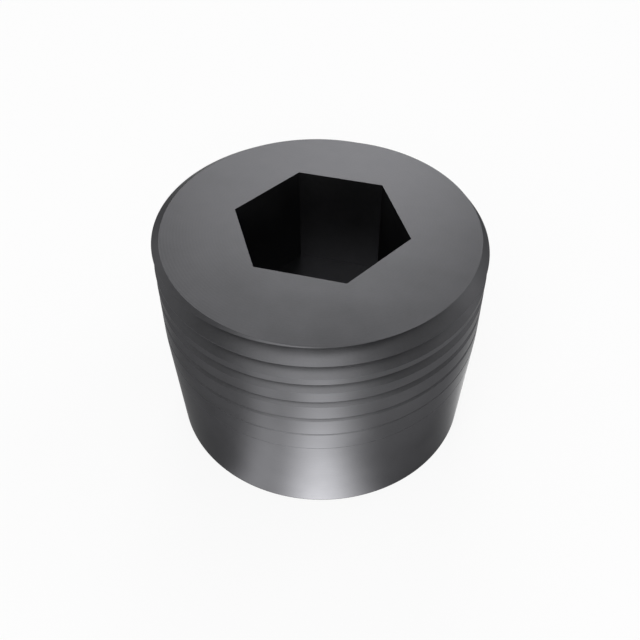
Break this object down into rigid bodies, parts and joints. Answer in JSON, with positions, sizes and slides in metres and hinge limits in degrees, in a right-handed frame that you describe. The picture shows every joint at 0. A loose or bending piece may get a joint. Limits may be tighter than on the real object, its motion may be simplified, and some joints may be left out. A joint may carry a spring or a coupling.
{
  "type": "orifice plug",
  "caption": "Threaded plug, straight then tapered, whose V-thread fades towards the small end, with a hexagon socket in the large end and a small metering orifice through its floor.",
  "frame": {"origin": "centre of the small end's face, which the plug stands on", "axes": "+Z along the plug's axis, from the small end to the end with the socket; +X through a corner of the hexagon socket"},
  "size_m": [0.0172, 0.0172, 0.0124],
  "materials": {
    "black_oxide_steel": "black oxide over turned steel, satin"
  },
  "bodies": {
    "root": {"plug_body": "black_oxide_steel"}
  },
  "joints": []
}
